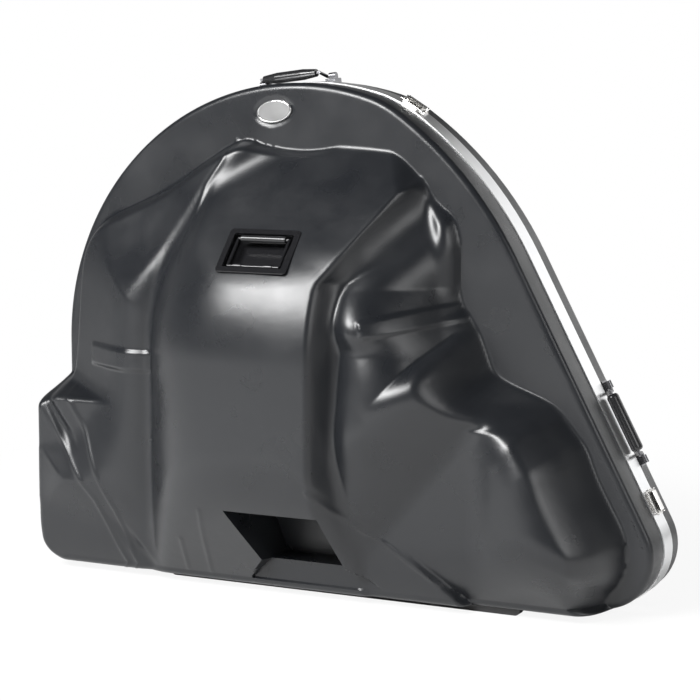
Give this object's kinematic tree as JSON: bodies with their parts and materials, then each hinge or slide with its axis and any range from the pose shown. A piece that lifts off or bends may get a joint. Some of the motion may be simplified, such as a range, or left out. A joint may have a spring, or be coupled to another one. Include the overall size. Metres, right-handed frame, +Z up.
{
  "type": "hard instrument case",
  "caption": "Moulded hard case for a sousaphone: arched outline, bulging front shell, metal-banded seam, draw latches, carrying handles and a sprung pull handle.",
  "frame": {"origin": "on the floor, under the middle of the case", "axes": "+X to the right of the front view, +Y from the bulging front to the flat back, +Z up"},
  "size_m": [1.1843, 0.4, 0.9345],
  "materials": {
    "shell": "black ABS with a fine leather grain, satin",
    "valance": "satin extruded",
    "bright_steel": "nickel plated, bright",
    "hinge_steel": "zinc plated",
    "runner_plastic": "black, smooth",
    "badge_metal": "bright, bare",
    "dark_steel": "black, glossy",
    "grip_rubber": "black, satin",
    "handle_steel": "plated",
    "foam": "black plush over foam"
  },
  "bodies": {
    "base": {"back_shell": "shell", "back_valance": "valance", "rear_runner": "runner_plastic", "hinge_base_leaves": "hinge_steel", "hinge_pins": "hinge_steel", "latch_plates": "bright_steel", "latch_pins": "bright_steel", "top_handle_brackets": "handle_steel", "side_handle_brackets": "handle_steel", "foam_bed": "foam"},
    "lid": {"front_shell": "shell", "front_valance": "valance", "badge_plate": "badge_metal", "front_runner": "runner_plastic", "keeper_plates": "bright_steel", "hinge_lid_leaves": "hinge_steel", "spring_handle_dish": "dark_steel", "spring_handle_clips": "dark_steel"},
    "latch_lever_upper_right": {"latch_lever_upper_right": "bright_steel"},
    "latch_bail_upper_right": {"latch_bail_upper_right": "bright_steel"},
    "latch_lever_lower_right": {"latch_lever_lower_right": "bright_steel"},
    "latch_bail_lower_right": {"latch_bail_lower_right": "bright_steel"},
    "latch_lever_upper_left": {"latch_lever_upper_left": "bright_steel"},
    "latch_bail_upper_left": {"latch_bail_upper_left": "bright_steel"},
    "latch_lever_lower_left": {"latch_lever_lower_left": "bright_steel"},
    "latch_bail_lower_left": {"latch_bail_lower_left": "bright_steel"},
    "top_handle": {"top_handle_wire": "handle_steel", "top_handle_grip": "grip_rubber"},
    "side_handle": {"side_handle_wire": "handle_steel", "side_handle_grip": "grip_rubber"},
    "spring_handle": {"spring_handle_loop": "dark_steel", "spring_handle_grip": "grip_rubber"}
  },
  "joints": [
    {"name": "lid_hinge", "type": "hinge", "parent": "base", "child": "lid", "pos_m": [0, 0.127, 0.006], "axis": [1, 0, 0], "range_deg": [0, 110]},
    {"name": "latch_lever_upper_right_hinge", "type": "hinge", "parent": "base", "child": "latch_lever_upper_right", "pos_m": [0.10152, 0.143, 0.87354], "axis": [-0.8536, 0, 0.521], "range_deg": [0, 130]},
    {"name": "latch_bail_upper_right_hinge", "type": "hinge", "parent": "latch_lever_upper_right", "child": "latch_bail_upper_right", "pos_m": [0.10152, 0.134, 0.87354], "axis": [-0.8536, 0, 0.521], "range_deg": [0, 60]},
    {"name": "latch_lever_lower_right_hinge", "type": "hinge", "parent": "base", "child": "latch_lever_lower_right", "pos_m": [0.55965, 0.143, 0.19374], "axis": [-0.4679, 0, 0.8838], "range_deg": [0, 130]},
    {"name": "latch_bail_lower_right_hinge", "type": "hinge", "parent": "latch_lever_lower_right", "child": "latch_bail_lower_right", "pos_m": [0.55965, 0.134, 0.19374], "axis": [-0.4679, 0, 0.8838], "range_deg": [0, 60]},
    {"name": "latch_lever_upper_left_hinge", "type": "hinge", "parent": "base", "child": "latch_lever_upper_left", "pos_m": [-0.42707, 0.143, 0.79061], "axis": [-0.7431, 0, -0.6691], "range_deg": [0, 130]},
    {"name": "latch_bail_upper_left_hinge", "type": "hinge", "parent": "latch_lever_upper_left", "child": "latch_bail_upper_left", "pos_m": [-0.42707, 0.134, 0.79061], "axis": [-0.7431, 0, -0.6691], "range_deg": [0, 60]},
    {"name": "latch_lever_lower_left_hinge", "type": "hinge", "parent": "base", "child": "latch_lever_lower_left", "pos_m": [-0.5915, 0.143, 0.19], "axis": [0, 0, -1], "range_deg": [0, 130]},
    {"name": "latch_bail_lower_left_hinge", "type": "hinge", "parent": "latch_lever_lower_left", "child": "latch_bail_lower_left", "pos_m": [-0.5915, 0.134, 0.19], "axis": [0, 0, -1], "range_deg": [0, 60]},
    {"name": "top_handle_hinge", "type": "hinge", "parent": "base", "child": "top_handle", "pos_m": [-0.15497, 0.171, 0.91356], "axis": [-0.9925, 0, -0.1219], "range_deg": [0, 150]},
    {"name": "side_handle_hinge", "type": "hinge", "parent": "base", "child": "side_handle", "pos_m": [0.49099, 0.171, 0.32128], "axis": [-0.4679, 0, 0.8838], "range_deg": [0, 150]},
    {"name": "spring_handle_hinge", "type": "hinge", "parent": "lid", "child": "spring_handle", "pos_m": [-0.081, -0.14432, 0.59686], "axis": [1, 0, 0], "range_deg": [0, 90], "stiffness_Nm_per_rad": 0.15, "springref_deg": -22.92}
  ]
}
